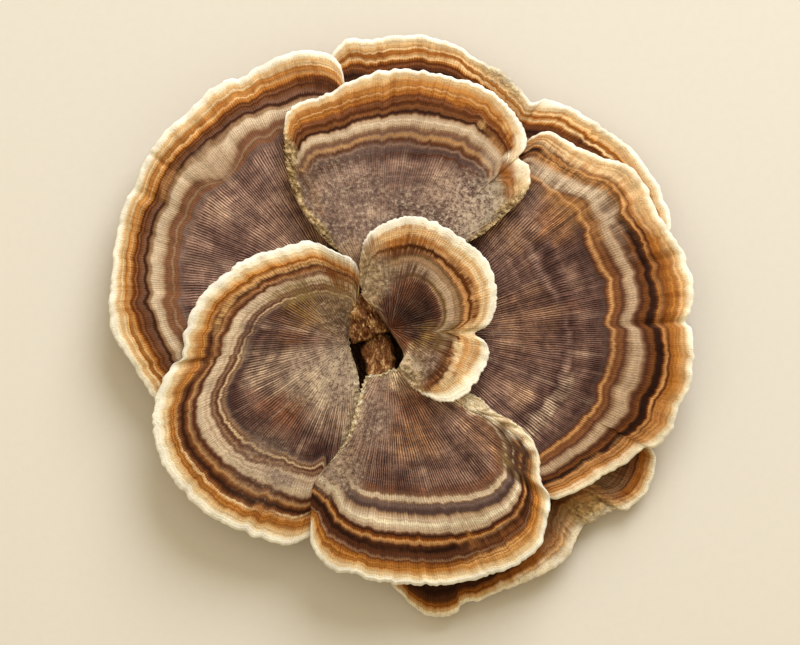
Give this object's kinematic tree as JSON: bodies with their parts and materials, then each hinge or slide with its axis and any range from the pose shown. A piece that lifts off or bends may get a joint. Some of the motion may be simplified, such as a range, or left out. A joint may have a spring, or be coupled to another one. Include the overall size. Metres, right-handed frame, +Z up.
{
  "type": "turkey tail fungus",
  "caption": "Rosette of overlapping banded bracket fungus caps with cream margins, cut flat underneath at its stub",
  "frame": {"origin": "middle of the flat cut under the stub", "axes": "+Z up through the stub, away from the cut; +X to the right and +Y to the top of the rosette as pictured from above"},
  "size_m": [0.1201, 0.1201, 0.0228],
  "materials": {
    "stub_flesh": "rough fibrous cut",
    "cap_tan": "velvety, banded",
    "cap_brown": "velvety, banded",
    "cap_grey": "velvety, banded"
  },
  "bodies": {
    "root": {"base_stub": "stub_flesh", "under_cap": "cap_tan", "back_cap": "cap_tan", "left_cap": "cap_brown", "right_cap": "cap_brown", "top_cap": "cap_grey", "lower_left_cap": "cap_brown", "bottom_cap": "cap_brown", "centre_cap": "cap_tan"}
  },
  "joints": []
}
